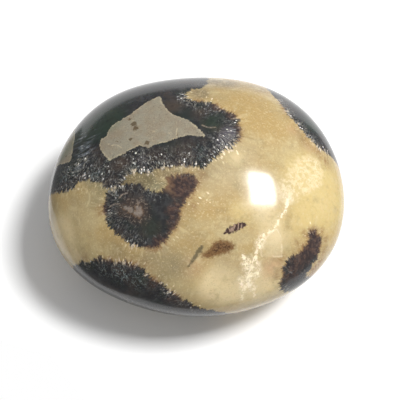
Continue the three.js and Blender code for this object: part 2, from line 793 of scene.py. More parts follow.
@dataclass
class Markings:
    """The stone's pattern: where each mineral lies.

    lining_depth: how far dark crystals reach out from a core of clay that they line.
    none: the depth of a point that no patch holds.
    band, disc, skirt, shoulder, crescent: the patches of dark crystals.
    lined_cores, bare_cores: the cores of clay, with dark crystals round them and without.
    dash, drop, sliver: crystals that lie loose in the calcite.
    disc_core, curl: the grey crystals in the disc's middle, and pale curls in the dark crystals.
    cloud, crack, vein, pane: the chalky clouds, the healed crack, the thin veins and a cleavage plane.
    rust, umber, mauve, ember, green: tints of the dark crystals. Green is a tint of the clay too.
    frost, comb, lace: where needles and painted glints shine, where fibres lean one way, where there are tiny
    rings.
    bristle, fringe, sugar: pale bristles, brown spikes and painted glints along the crystals' edge.
    murk, olive, grey, dusk, amber, pale, milk, blush: tints of the calcite, dusk partly painted shade on the
    far rim.
    stain: blots on the clay.
    spur: where a chalky net spreads from the crack.
    """

    lining_depth: float = 5.6
    none: float = -9.0
    band: Outline = Outline(
        ((-31.9, -0.3), (-29.4, 0.1), (-26.7, 1.2), (-26, 2.5), (-24.5, 2.8), (-21.4, 2.4), (-20, 1.4),
         (-18.6, 1), (-17.4, 0.9), (-16.4, 1.2), (-15.8, 2.3), (-15.2, 3.4), (-14.3, 4.3), (-12, 4.1),
         (-9.8, 4.3), (-9.2, 5), (-6.4, 5.6), (-2.5, 5.9), (1.4, 5.5), (3.8, 7.4), (6.2, 9.1), (8.1, 10.2),
         (9.4, 11.8), (9.7, 13.7), (9.4, 15.5), (8.4, 17.2), (6, 18.1), (3.7, 19.6), (1.7, 19.9),
         (-0.4, 20.1), (-1.6, 20.7), (-2, 21.6), (-1.2, 22.4), (0.6, 22.8), (2.2, 23.5), (2.6, 24.6)),
        beyond=((84, 12), (96, 4), (112, 0), (130, -6), (150, -14), (170, -14), (185, -4)))
    disc: Outline = Outline(
        ((-19.2, 0.6), (-16.7, 1.6), (-14.2, 2.1), (-12, 2), (-10.9, 1), (-9.2, 0.5), (-7.8, 0.4),
         (-6.9, 1.2), (-6.3, 2.2), (-6, 3.3), (-4.6, 3.9), (-2.4, 4.2), (-0.3, 3.6), (0.3, 2.3), (-0.9, 0.2),
         (-1.9, -1.2), (-3, -2.7), (-3.5, -4.2), (-3.7, -5.9), (-5.1, -8), (-6.4, -9.8), (-7.8, -11.1),
         (-9.6, -12), (-11.4, -12), (-13.2, -11.6), (-14.7, -10.9), (-16.2, -10), (-17.6, -8.9), (-19, -7.4),
         (-20, -5.4), (-20.3, -3.4), (-19.8, -1.2)))
    skirt: Outline = Outline(
        ((6.2, -26.1), (3.2, -25.4), (0.8, -25), (-0.6, -24.5), (-1.8, -23.5), (-3.2, -23.1), (-5, -21.7),
         (-6.5, -20.9), (-7.3, -19.9), (-9.7, -18.5), (-10.6, -17.3), (-12, -16.2), (-13.4, -15.5),
         (-15.4, -14.8), (-17.6, -14.6), (-20.2, -14.1), (-21.8, -13.8), (-23.2, -14.8), (-25.8, -14.9),
         (-27, -16)),
        beyond=((214, -4), (222, -12), (240, -18), (258, -20), (272, -16), (287, -10)))
    shoulder: Outline = Outline(
        ((16.6, 21.4), (17.9, 20.1), (20.1, 17), (22.3, 14.4), (24.5, 11.8), (26.9, 9.4), (28.4, 8.5),
         (29.9, 7.2)),
        beyond=((6, -2), (20, -12), (40, -10), (54, 2), (56, 14)))
    crescent: Outline = Outline(
        ((23.9, -18.1), (24.4, -17), (25.1, -15.9), (25.9, -14.9), (26.5, -13.7), (26.8, -12.4),
         (27.2, -11.3), (27.2, -10.2), (26.6, -9.6), (26.2, -8.8), (25.5, -8.1), (24.3, -8.8), (24.4, -10.2),
         (24.2, -11.2), (23.2, -12), (22.5, -12.6), (21.7, -13.4), (20.1, -14.1), (19.4, -15.1),
         (18.5, -16.5), (18.7, -17.8), (18.2, -19.1), (17.8, -20), (18.4, -21.1), (19.3, -21.8)),
        beyond=((312, -4), (317, -8), (322, -5)))
    bare_cores: Lines = (
        Outline(((-7.8, 21), (-7.3, 19.6), (-6, 17.9), (-4.1, 16.8), (-2.1, 16.1), (-0.8, 15.3), (0.5, 14),
                 (2, 12.4), (-0.1, 12.5), (-2.5, 12.5), (-4.5, 11.9), (-6, 11.3), (-8.4, 10.8), (-10.4, 9.9),
                 (-11.7, 10.3), (-12.5, 10.5), (-13.6, 9.8), (-15.8, 8.7), (-17.1, 8.1), (-18.4, 7.5),
                 (-19.1, 7.4), (-20.2, 8.7), (-20.8, 9.6), (-20.9, 11.6), (-19.7, 12.4), (-19.1, 13.7),
                 (-18.2, 14.8), (-16, 16.2), (-13.6, 17.7), (-12.1, 18.9), (-9.7, 20.4))),
    )
    lined_cores: Lines = (
        Outline(((-26.4, 12.8), (-26.7, 10.8), (-26.9, 9.6), (-27.2, 8.1), (-27.5, 7.1), (-28.7, 6.7),
                 (-30.2, 6.1)),
                beyond=((173, 1), (176, -12), (170, -26), (154, -36), (136, -32), (127, -18), (134, -4),
                        (148, 5))),
        Outline(beyond=((14, -6), (30, -2), (46, 0), (58, -8), (56, -24), (40, -36), (22, -32), (10, -18))),
        Outline(beyond=((220, -9), (236, -12), (252, -15), (266, -22), (262, -40), (244, -50), (226, -40),
                        (215, -24))),
        Outline(beyond=((290, -58), (310, -46), (335, -40), (356, -46), (10, -60), (330, -76))),
        Outline(beyond=((98, -38), (114, -52), (150, -68), (90, -80), (62, -62), (80, -44))),
    )
    dash: Lines = (
        Outline(((5.7, -8.8), (7.4, -8.8), (9.2, -8.1), (10.9, -7), (10, -6.4), (8.3, -6.8), (6.5, -7.9))),
    )
    drop: Lines = (
        Outline(((0.9, -13.6), (2.6, -12.3), (3.5, -11), (5, -10.3), (7, -10.5), (8.1, -11.6), (7.2, -12.9),
                 (5.2, -13.4), (3.1, -14))),
        Outline(beyond=((340, -14), (344, -12), (349, -11), (346, -15))),
        Outline(beyond=((79, -2), (84, 3), (88, 1), (84, -5))),
        Outline(beyond=((190, -30), (196, -27), (200, -30), (194, -34))),
    )
    sliver: Lines = (
        Outline(((-1.9, -16.1), (-1.4, -15), (-0.8, -13.9), (0.1, -12.4), (1, -11.3), (1.4, -12),
                 (0.5, -13.3), (-0.3, -14.4), (-1.2, -15.4))),
    )
    disc_core: Lines = (
        Outline(((-16.1, -2.8), (-15, -2.9), (-13.9, -3.1), (-13.9, -4.1), (-14.6, -4), (-15.4, -3.5))),
        Outline(((-13.2, -2.8), (-12.4, -2.8), (-11.9, -3.6), (-11.9, -4.5), (-12.5, -5.2), (-13.3, -4.8),
                 (-13.6, -4.2), (-13.1, -3.6))),
    )
    curl: Lines = (
        Outline(((-13, -1.4), (-12.7, -2.1), (-12.9, -2.8))),
        Outline(((-16.9, -1), (-16.1, -0.2), (-15.1, 0.1))),
        Outline(((-18.9, -2.9), (-17.9, -2.3), (-16.9, -2.2))),
        Outline(((1.3, 14.8), (2.6, 14.3), (4.2, 14.3))),
    )
    cloud: Lines = (
        Outline(((20.3, 5), (22.1, 7.2), (24.3, 7.9), (26.4, 7.2), (27.3, 4.6), (26.9, 1.5), (24.3, -0.2),
                 (21.7, -0.4), (19.9, 0.7), (19.5, 2.9))),
        Outline(((18.2, 2.4), (20.3, 3.3), (22.5, 2.4), (23, 0.2), (21.7, -1.9), (19.5, -2.2), (18.2, -0.6))),
    )
    crack: Lines = (
        Outline(((20.4, -0.2), (19.8, -2.2), (19.3, -3.5), (18.9, -4.6), (18.2, -5.6), (17.5, -6.8),
                 (16.7, -7.8), (16, -8.6), (14.7, -9), (14.2, -10.2), (13.5, -11.1), (13.7, -12),
                 (12.8, -13.3), (12.6, -14.6), (12.4, -15.8), (11.4, -16.8), (11.2, -18.3), (11, -19.4),
                 (10.2, -21.2), (9.8, -22.7)),
                beyond=((291, -14), (297, -30), (288, -44))),
        Outline(((11.2, -19.6), (11.7, -20.4), (12.3, -21.1), (12.7, -22.2)),
                beyond=((299, -16), (306, -30))),
        Outline(((10, -13.7), (10.8, -14.8), (11.8, -15.3), (13.1, -15.3))),
        Outline(((10.4, -15.7), (11, -16.4), (11.7, -16.6))),
        Outline(((13.9, -17.2), (12.5, -17.9), (11.3, -18.4))),
        Outline(((9.3, -19), (9.8, -20.2), (10.5, -20.7))),
        Outline(beyond=((356, -8), (348, -15), (351, -24), (342, -33), (345, -44))),
        Outline(beyond=((351, -24), (358, -30), (357, -37))),
        Outline(beyond=((73, 12), (69, 2), (75, -9), (70, -20), (76, -32))),
        Outline(beyond=((205, -12), (199, -22), (206, -33), (201, -46))),
    )
    vein: Lines = (
        Outline(((-18.4, 10.5), (-17.6, 10.6), (-16.7, 10.3), (-15.9, 9.7))),
        Outline(((-4.1, 14.2), (-4.3, 13.2), (-4.2, 12.3))),
        Outline(((-24.8, 1.5), (-23.7, 0.6), (-23.3, -1.2), (-23.9, -2.8))),
        Outline(((-26.6, -4.6), (-25.7, -5.4), (-25.5, -6.6))),
        Outline(beyond=((160, 4), (153, -12), (157, -24), (150, -38))),
        Outline(beyond=((128, -15), (141, -19), (153, -12), (170, -10))),
        Outline(beyond=((18, -4), (28, -14), (25, -26), (30, -36))),
        Outline(beyond=((28, -14), (42, -18), (57, -13))),
        Outline(beyond=((222, -14), (238, -25), (254, -27), (266, -36))),
        Outline(beyond=((238, -25), (233, -38), (240, -50))),
    )
    pane: Lines = (
        Outline(((17.2, -8), (17.9, -8.6), (18.4, -9.4), (18.5, -11.4), (18.6, -13.4), (18.5, -13.9),
                 (16.4, -13.9), (14.4, -13.9), (14, -13.4), (14.2, -11.7), (15.1, -9.8))),
    )
    rust: Wash = (
        (-2.5, 1.4, 3.4, 1.1), (-5, -4.2, 2.2, 0.7), (-5.2, -7.6, 1.6, 0.6), (-7.4, -10.4, 1.6, 0.6),
        (-9.6, -11.8, 2.2, 0.6), (-20.4, -3.6, 1.6, 0.8), (-14.8, -2.2, 1.8, 0.5), (18.6, 18.4, 2, 0.7),
        (24.9, -9.8, 2.8, 1), (23.6, -14, 3, 0.5), (25.9, -12.4, 2, 0.6), (20.6, -17.6, 3.6, 0.6),
        (-19.2, -14.6, 2.2, 0.6), (-14.4, -15.4, 2, 0.7), (-9.6, -18.4, 2, 0.6), (-10.5, -21.6, 2.6, 0.3),
        (-5, -22.6, 2.6, 0.6), (0.6, 20.2, 1.4, 0.7), (4.6, 18.8, 1.7, 0.9), (7.8, 16.8, 1.6, 0.9),
        (9.7, 13.9, 1.5, 0.9), (9.4, 11.6, 1.2, 0.6))
    umber: Wash = (
        (-16.5, 6.6, 2.2, 0.9), (22.6, -14.8, 2.4, 0.5), (19.4, -19, 2.4, 0.5), (-3, 9.4, 3, 0.6),
        (0.8, 17.4, 2.2, 0.7), (-13.6, -21.6, 2.6, 0.5), (-5.2, 19, 2.6, 0.9), (-9, 8.4, 2.4, 0.5),
        (23, 13, 2.2, 0.5))
    mauve: Wash = ((7.2, 13.1, 1.8, 1.1), (5.4, 10.8, 1.8, 0.6), (-11.6, 7.2, 2, 0.4))
    bristle: Wash = (
        (18.6, 19.4, 1.2, 0.8), (20.2, 17.3, 1.3, 1.1), (22.3, 14.7, 1.3, 1.2), (24.5, 12, 1.3, 1.2),
        (26.8, 9.7, 1.3, 1.2), (28.6, 8.5, 1.2, 1), (-28, 1.2, 1.4, 0.6), (-21.4, 2.9, 1.6, 0.8),
        (-12.8, 4.8, 1.6, 1), (-9.8, 5, 1.5, 1), (-6.4, 6, 1.5, 1.1), (-2.8, 6.2, 1.5, 1.2),
        (1.2, 6, 1.5, 1.2), (4.4, 7.6, 1.4, 0.8), (6.6, 8.9, 1.6, 1.3), (8.4, 10.2, 1.5, 1.2),
        (9.4, 12.6, 1.2, 0.9), (8.8, 16.4, 1.2, 0.6), (5.4, 18.2, 1.3, 0.7), (1.8, 19.8, 1.4, 0.9),
        (-1.6, 20.6, 1.6, 1.2), (-17.2, 1.2, 1.6, 0.8), (-19.6, -4.6, 1.4, 0.5), (-15.6, -10.2, 1.4, 0.7),
        (-13.2, -11.4, 1.2, 0.9), (-24.6, -14.8, 1.4, 0.7), (-20.6, -14.4, 1.5, 0.9),
        (-17.6, -14.8, 1.5, 1.2), (-14.4, -15.4, 1.5, 1), (-11.2, -17.2, 1.5, 1.1), (-7.8, -19.8, 1.5, 0.9),
        (-5.2, -22, 1.4, 1.1), (25.2, -8.2, 1.2, 1), (18.8, -14.8, 1.2, 0.6))
    lace: Wash = (
        (-16.2, -17.6, 2, 1.2), (-12.4, -19.8, 1.6, 0.7), (-20.6, -16.8, 1.6, 0.6), (-28.2, 4, 2.2, 0.6),
        (-22, 4.6, 2.2, 0.5), (0.4, 9, 2.4, 0.4))
    comb: Wash = ((-25.6, 11, 2, 1.1), (-24, 9.4, 2.4, 1.1), (-25.2, 6.8, 1.8, 0.7), (-22.6, 13.2, 1.8, 0.5))
    murk: Wash = (
        (-14.4, 3, 2.2, 1.4), (-11.2, 3.2, 2.2, 1), (-6.4, 4.8, 2.4, 0.4), (5.1, 20.6, 2.6, 0.3),
        (23.4, 11, 2.6, 0.3), (4.4, 6, 2.6, 0.3), (0.7, 3.2, 2.6, 0.35), (-17.6, -10.6, 3, 0.3),
        (-3.2, -6.2, 2.4, 0.25), (-8, -18.4, 2.4, 0.5), (13.8, -19.4, 3, 0.2))
    # Painted glints: where bright specks that stand in for light on crystal faces gather along the edge.
    sugar: Wash = (
        (1.6, -1.6, 2.2, 1.2), (-5.6, -9.8, 1.4, 0.8), (-14.3, -11, 1.2, 0.8), (-11.2, -17.8, 1.4, 0.9),
        (-14.6, -14.8, 1.4, 1), (-18.2, -13.8, 1.6, 1.1), (-21.8, -13.2, 1.2, 0.8), (-8.8, -18.6, 1.3, 0.9),
        (-5.4, -20.9, 1.2, 0.7), (-25.4, -14.4, 1.2, 0.8), (-10.2, -15.4, 1.4, 0.6), (-6.7, 2.8, 1.2, 0.9),
        (-22.1, 2.2, 1.8, 0.8), (-25, 1, 1.2, 0.8), (11.2, 13.4, 1.6, 0.8), (6.4, 8.4, 1.6, 1.1),
        (8.8, 9.4, 1.4, 0.9), (3.6, 6.8, 1.6, 0.9), (0.4, 6, 1.4, 0.7), (-0.4, 22.2, 2.2, 1),
        (3.6, 20.6, 2, 0.9), (20.8, 17.4, 1.6, 0.9), (23.6, 13.8, 1.8, 1), (25.8, 11, 1.6, 0.8),
        (24.8, -7.2, 1.6, 0.9))
    fringe: Wash = (
        (23.6, -8.9, 0.9, 0.9), (27.3, -8.5, 0.9, 0.8), (28, -10.2, 1, 0.7), (27.9, -12.4, 1, 0.7),
        (27.1, -14.6, 1.2, 0.7), (18.4, -14.4, 1, 0.7), (21.9, -10.9, 0.9, 0.6), (17.4, -18.4, 1, 0.6),
        (25.6, -16.6, 1.6, 1.1), (24.6, -18.4, 1.6, 1.1), (28.2, 7, 1.7, 0.8), (26.4, 8.9, 1.5, 0.7),
        (24.2, 11.2, 1.5, 0.6), (22, 13.6, 1.4, 0.5), (19.6, 16.8, 1.4, 0.4), (-20.8, -3.6, 1.2, 0.8),
        (-0.6, -2.6, 1.2, 0.6), (1, 3.6, 1.2, 0.8), (-24.6, -14, 1.4, 0.6), (-11.4, -16.4, 1.6, 0.6))
    ember: Wash = (
        (-6.3, 2.4, 1.7, 1), (-4.2, 0.6, 1.6, 0.7), (-1, 0.4, 1.3, 0.8), (0, 2.6, 1.2, 0.6),
        (-2.6, 2.4, 1.8, 0.4), (-4.4, -6.6, 1.2, 0.5), (24.6, -9, 1.2, 0.6))
    frost: Wash = (
        (5.6, 9.6, 3, 1), (8, 11.2, 1.6, 0.7), (6.4, 12.6, 2.4, 0.6), (7.6, 15.4, 2, 0.5), (2.4, 18, 2, 0.4),
        (-2.6, 20.6, 1.6, 1.1), (-0.6, 19.4, 1.2, 0.8), (-23.8, 7.4, 2.2, 0.8), (-26.2, 5, 3, 1.1),
        (-29, 4, 2, 0.6), (-20.4, 4.8, 2.8, 0.7), (-12.6, 7.2, 3, 1), (-8, 7.6, 2.2, 0.8),
        (-2, 7.6, 2.6, 0.6), (-17, 1.4, 1.8, 0.6), (-17.6, -1.2, 2, 0.4), (-18.2, -5, 2.2, 0.4),
        (-15, -8.6, 2.4, 0.3), (-16.6, -17.2, 2, 0.4), (-6, -22.2, 3, 0.3), (18.4, 19.8, 1.3, 1),
        (20.2, 17.6, 1.3, 1.3), (22.4, 14.9, 1.3, 1.3), (24.6, 12.2, 1.3, 1.3), (26.8, 9.9, 1.3, 1.2),
        (28.6, 8.6, 1.2, 0.9), (20, -17, 2, 0.3))
    green: Wash = (
        (-20, 15.8, 5, 1.3), (-24.6, 13.4, 3.4, 1), (-28.8, 8.8, 2.6, 1), (-10, -7.4, 3, 0.6),
        (3.4, 15.4, 2.8, 0.8), (-12, -18.6, 2.6, 0.5), (25.4, 14.4, 2.6, 0.9))
    olive: Wash = (
        (-19.6, 2.6, 2.2, 0.8), (-23.4, 2.6, 2, 0.5), (-9.6, 2.4, 3, 1.1), (-14, 3, 2.2, 0.9),
        (-4.4, 4.6, 3, 0.7), (-5.8, 4.8, 1.8, 0.8), (-22, -1.2, 3.6, 0.5), (-4.7, -15.7, 3.6, 0.5),
        (-17, -13.2, 3, 0.4))
    grey: Wash = ((5, 5, 6, 0.8), (12, 9, 4, 0.5), (-26, -4, 5, 0.4))
    # A darker calcite tone, partly painted shade, most of all in its spots along the far rim.
    tone_and_shade: Wash = (
        (7, 23.8, 3.4, 0.8), (3.6, 24.2, 2.6, 0.8), (0.8, 21.6, 2.4, 1.1), (-5.8, 4.8, 1.8, 0.7),
        (-26.6, -0.6, 2.6, 0.4), (-17.5, -12.4, 3.4, 0.4), (-12.5, -15.4, 3.4, 0.45), (-8, -13, 3.6, 0.45),
        (-4, -16.5, 3.6, 0.35), (-0.8, -10, 3.4, 0.35), (-2.4, -3.4, 3, 0.35), (5, -15, 4, 0.35),
        (10.4, -17.4, 4.4, 0.4), (0.6, 5.4, 3.6, 0.5), (12.4, 12, 2.6, 0.2), (-14.1, 2.6, 1.7, 0.9),
        (-7.6, 4, 1.8, 0.8), (14, 22.6, 3.4, 0.6))
    amber: Wash = ((10.5, 19, 7, 1), (7, -4.4, 4, 0.4), (16, 13, 5, 0.6))
    pale: Wash = ((29, -1, 9, 1), (23, 4, 5, 0.6), (22.4, -6.4, 4, 0.5), (9.8, -4.2, 3.2, 0.7))
    milk: Wash = (
        (3.4, -20.8, 3.6, 0.7), (-29.6, -8, 4, 1), (-28.2, -11.6, 2.6, 0.9), (-26, -13.8, 2, 0.6),
        (14.4, -3, 3.6, 0.5), (17.2, -9, 4, 0.6), (14.6, 12, 3, 0.2), (8.6, 7.8, 1.8, 0.6),
        (26.8, -2.2, 3.2, 0.3), (8, -21, 5, 0.9), (15, -20, 4, 0.8), (5, -17, 3.4, 0.4))
    blush: Wash = ((-1, -16, 3, 0.5), (16.2, -16.4, 2.8, 0.7), (20.8, 13.6, 2, 0.4), (24.6, 9.8, 2, 0.4))
    stain: Wash = (
        (-13.6, 15.2, 0.7, 1.2), (-13.1, 14.2, 0.6, 1.2), (-14.5, 16.2, 0.5, 0.9), (-14.3, 11.8, 0.4, 1.3),
        (-10.7, 11, 0.6, 1.2))
    spur: Wash = ((14, -10.6, 1.8, 0.9), (11.6, -16.2, 2.4, 1.2), (11.2, -20, 2.6, 0.9), (19.8, -1, 2, 0.7))

    def lay(self, stone: bpy.types.Object) -> None:
        """Stores every marking as a layer of the stone's mesh.

        Args:
            stone: the stone.
        """
        surface = Surface(stone)
        dark = np.full(surface.count, self.none)
        core = dark.copy()
        foot = surface.points.copy()

        def grow(depth: np.ndarray, near: np.ndarray) -> None:
            """Adds a patch to the dark crystals.

            Args:
                depth: how deep each point lies in it.
                near: the place on its edge that is nearest to each point.
            """
            wins = depth > dark
            dark[wins] = depth[wins]
            foot[wins] = near[wins]

        for outline in (self.band, self.disc, self.skirt, self.shoulder, self.crescent):
            grow(*surface.patch(outline))
        for outline in self.lined_cores:
            depth, near = surface.patch(outline)
            core = np.maximum(core, depth)
            grow(depth + self.lining_depth, near)

        layers = {"dark": dark, "core": np.maximum(core, surface.deepest(self.bare_cores))}
        for name in ("dash", "drop", "sliver", "disc_core", "cloud", "pane"):
            layers[name] = surface.deepest(getattr(self, name))
        for name in ("crack", "vein", "curl"):
            layers[name] = surface.closest(getattr(self, name))
        for item in fields(self):
            if item.type == Wash:
                layers[item.name] = surface.washed(getattr(self, item.name))
        for name, values in layers.items():
            layer = stone.data.attributes.new(name, "FLOAT", "POINT")
            layer.data.foreach_set("value", values.astype(np.float32))
        layer = stone.data.attributes.new("foot", "FLOAT_VECTOR", "POINT")
        layer.data.foreach_set("vector", foot.astype(np.float32).ravel())


# ---------------------------------------------------------------- patterns that a finish is made of


@dataclass(frozen=True)
class Step:
    """A smooth step from one strength to another.

    start: the value where it starts.
    end: the value where it ends, which may be the smaller of the two.
    least: the strength before it.
    most: the strength after it.
    """

    start: float
    end: float
    least: float = 0.0
    most: float = 1.0

    def of(self, value: Term) -> Term:
        """The strength that the step gives to a value."""
        return value.ramp(self.start, self.end, self.least, self.most)


@dataclass(frozen=True)
class Noise:
    """Cloudy noise about one half.

    size: the rough size of its lumps, in millimetres.
    detail: how many finer layers it has.
    rough: how strong they are.
    """

    size: float
    detail: float = 2.0
    rough: float = 0.6

    def on(self, place: Arrow) -> Term:
        """The noise at a place.

        Args:
            place: the place in millimetres.

        Returns:
            A number from 0 to 1.
        """
        made = place.graph.node("ShaderNodeTexNoise", {"noise_dimensions": "3D"}, {
            "Vector": place, "Scale": 1 / self.size, "Detail": self.detail, "Roughness": self.rough})
        return Term(place.graph, made.outputs[0])


@dataclass(frozen=True)
class Wobble:
    """Noise about zero that makes a clean edge ragged.

    height: how far it goes from end to end, in the units of the edge. The rest is as for noise.
    """

    height: float
    size: float
    detail: float = 2.0
    rough: float = 0.6

    def on(self, place: Arrow) -> Term:
        """The wobble at a place."""
        return (Noise(self.size, self.detail, self.rough).on(place) - 0.5) * self.height


@dataclass(frozen=True)
class Mottle:
    """Soft patches.

    step: between which noise values they grow, and how strong they are. The rest is as for noise.
    """

    size: float
    step: Step
    detail: float = 2.0
    rough: float = 0.55

    def on(self, place: Arrow) -> Term:
        """The strength of the patches at a place."""
        return self.step.of(Noise(self.size, self.detail, self.rough).on(place))


@dataclass(frozen=True)
class Threads:
    """Thin winding lines.

    size: how far apart they are, in millimetres.
    width: their width as a share of the noise's range.
    detail: how jagged they are.
    strength: how strong they are.
    """

    size: float
    width: float
    detail: float = 2.0
    strength: float = 1.0

    def on(self, place: Arrow) -> Term:
        """The strength of the lines at a place, which is 0 off them."""
        return abs(Noise(self.size, self.detail).on(place) - 0.5).ramp(self.width, 0.0, most=self.strength)


class Ground:
    """What a finish may ask about the point that it colours, all in millimetres."""

    def __init__(self, graph: Graph) -> None:
        """Reads the point's place, and the place on the crystals' edge that is nearest to it.

        Args:
            graph: the material's node tree.
        """
        self.graph = graph
        self.place = Arrow(graph, graph.node("ShaderNodeTexCoord", {}, {}).outputs["Object"]) * (1 / MM)
        self.foot = Arrow(graph, self.layer("foot").outputs["Vector"])
        self.read: dict[str, Term] = {}

    def layer(self, name: str) -> bpy.types.Node:
        """The node that reads one layer of the mesh."""
        return self.graph.node("ShaderNodeAttribute", {"attribute_name": name}, {})

    def __getitem__(self, name: str) -> Term:
        """A marking at the point.

        Args:
            name: the marking's name among the stone's markings.

        Returns:
            Its depth, its distance or its strength.
        """
        if name not in self.read:
            self.read[name] = Term(self.graph, self.layer(name).outputs["Fac"])
        return self.read[name]

    def along(self, stretch: float) -> Arrow:
        """A place that changes slowly away from the crystals' edge, so that a pattern on it becomes needles.

        Args:
            stretch: how fast it changes away from the edge, with 1 for as fast as along it.

        Returns:
            The place in millimetres.
        """
        return self.foot * (1 - stretch) + self.place * stretch


@dataclass(frozen=True)
class Needles:
    """Noise drawn out square to the crystals' edge.

    stretch: how fast it changes away from the edge, with 1 for as fast as along it.
    size: how thick a needle is, in millimetres.
    detail: how many finer layers the noise has.
    rough: how strong they are.
    """

    stretch: float
    size: float
    detail: float = 2.0
    rough: float = 0.6

    def on(self, ground: Ground) -> Term:
        """The noise at the point, from 0 to 1."""
        return Noise(self.size, self.detail, self.rough).on(ground.along(self.stretch))


@dataclass(frozen=True)
class Flecks:
    """Small painted glints: bright specks that stand in for light caught by tiny crystal faces.

    stretch: as for needles.
    size: how far apart they could be, in millimetres.
    radius: the largest glint's radius in millimetres.
    share: how many of the possible glints there are, from 0 to 1.
    core: the share of a glint's radius that is fully bright.
    faint: how many of them are faint, from 0 to 1.
    """

    stretch: float
    size: float
    radius: float
    share: float
    core: float = 0.45
    faint: float = 0.02

    def on(self, ground: Ground) -> Term:
        """The painted glints at the point.

        Args:
            ground: the point.

        Returns:
            1 on a glint and 0 off it.
        """
        cells = ground.graph.node("ShaderNodeTexVoronoi", {"voronoi_dimensions": "3D", "feature": "F1"},
                                  {"Vector": ground.along(self.stretch), "Scale": 1 / self.size})
        away = Term(ground.graph, cells.outputs["Distance"]) * self.size
        lot = Arrow(ground.graph, cells.outputs["Color"]).parts()[0]
        bar = 1 - self.share
        return away.ramp(self.radius, self.radius * self.core) * lot.ramp(bar, bar + self.faint)


# ---------------------------------------------------------------- the minerals


# Colours that more than one mineral has.
CREAM = paint(208, 191, 149)
SHADE = paint(144, 127, 88)
UMBER = paint(68, 56, 48)
EMBER = paint(122, 92, 66)
FROST = paint(204, 205, 202)


@dataclass
class Mineral:
    """A mineral's colour at a point, laid on coat by coat.

    ground: what is known about the point.
    depth: how deep the point lies in the dark crystals or, for clay, in the clay, in millimetres.
    colour: the colour so far.
    """

    ground: Ground
    depth: Term
    colour: Arrow | tuple = ()

    def coat(self, amount: Term | float, over: Arrow | tuple) -> None:
        """Lays a coat of another colour over the colour so far."""
        self.colour = self.ground.graph.blend(amount, self.colour, over)

    def lay(self) -> None:
        """Lays every coat, which each kind of mineral does in its own way."""
        raise NotImplementedError

    def finished(self) -> Arrow:
        """The colour with every coat on it."""
        self.lay()
        return self.colour


@dataclass
class CalciteBody(Mineral):
    """Honey-coloured calcite with broad patches, tinted parts and softer lumps."""

    honey: tuple = paint(180, 162, 120)
    amber: tuple = paint(175, 148, 96)
    cream: tuple = CREAM
    shade: tuple = SHADE
    tints: tuple = (
        ("amber", amber),
        ("grey", paint(182, 164, 127)),
        ("pale", paint(203, 181, 124)),
        ("milk", paint(222, 202, 158)),
        ("blush", paint(196, 160, 124)),
        ("olive", paint(126, 120, 94)),
        # The dusk tint is a darker tone of the calcite, and along the far rim it is painted shade.
        ("tone_and_shade", paint(132, 116, 86)),
    )
    clouds: Mottle = Mottle(9.0, Step(0.36, 0.66), 3.0)
    tint_wobble: Wobble = Wobble(0.5, 2.8, 3.0)
    tint_step: Step = Step(0.05, 0.95)
    lumps: Mottle = Mottle(2.4, Step(0.52, 0.78, most=0.5), 4.0)
    hollows: Mottle = Mottle(2.9, Step(0.48, 0.24, most=0.45), 4.0)

    def lay(self) -> None:
        """Lays the body's coats."""
        place = self.ground.place
        self.colour = self.honey
        self.coat(self.clouds.on(place), self.amber)
        ragged = self.tint_wobble.on(place) + 1
        for name, tint in self.tints:
            self.coat(self.tint_step.of(self.ground[name] * ragged), tint)
        self.coat(self.lumps.on(place), self.cream)
        self.coat(self.hollows.on(place), self.shade)


@dataclass
class CalciteFans(Mineral):
    """Fans of fibres, brown stain and painted glints in the calcite beside the dark crystals."""

    cream: tuple = CREAM
    shade: tuple = SHADE
    murk: tuple = paint(100, 88, 62)
    brown: tuple = paint(132, 94, 58)
    glint: tuple = paint(252, 238, 202)
    fan_reach: Step = Step(-8.0, -0.6)
    fan_patches: Mottle = Mottle(3.4, Step(0.4, 0.6, least=0.4))
    fans: Needles = Needles(0.16, 0.7, 3.0)
    fan_light: Step = Step(0.5, 0.66, most=0.4)
    fan_dark: Step = Step(0.46, 0.32, most=0.3)
    murk_wobble: Wobble = Wobble(0.6, 1.6, 3.0)
    murk_step: Step = Step(0.0, 1.0, most=0.72)
    spikes: Needles = Needles(0.25, 0.5)
    spike_stain: Step = Step(0.4, 0.6, 0.3, 0.9)
    spike_shade: Step = Step(0.4, 0.6)
    stain_reach: Step = Step(-1.3, -0.05)
    rust_step: Step = Step(0.1, 0.7)
    shade_reach: Step = Step(-0.5, 0.0, most=0.4)
    # Painted glints: flecks that stand in for light caught by tiny crystal faces.
    glint_flecks: Flecks = Flecks(0.6, 0.55, 0.18, 0.35)
    glint_reach: Step = Step(-1.2, -0.1)
    glint_clusters: Mottle = Mottle(2.6, Step(0.46, 0.6, least=0.15), 1.0)
    sugar: Flecks = Flecks(0.4, 0.56, 0.19, 0.5)

    def lay(self) -> None:
        """Lays the fans, the murk, the stained spikes and the painted glints."""
        ground, place, depth = self.ground, self.ground.place, self.depth
        near = self.fan_reach.of(depth) * self.fan_patches.on(place)
        fans = self.fans.on(ground)
        self.coat(self.fan_light.of(fans) * near, self.cream)
        self.coat(self.fan_dark.of(fans) * near, self.shade)
        self.coat(self.murk_step.of(ground["murk"] * (self.murk_wobble.on(place) + 1)), self.murk)
        spikes = self.spikes.on(ground)
        stained = self.stain_reach.of(depth) * self.rust_step.of(ground["rust"])
        stained = stained.greater(ground["fringe"].capped())
        self.coat(stained * self.spike_stain.of(spikes), self.brown)
        self.coat(self.shade_reach.of(depth) * self.spike_shade.of(spikes), self.shade)
        # Painted glints near the edge and in the places of the glint wash.
        glint_flecks = self.glint_flecks.on(ground) * self.glint_reach.of(depth) * self.glint_clusters.on(place)
        sugar = self.sugar.on(ground) * ground["sugar"].capped()
        self.coat(glint_flecks.greater(sugar), self.glint)


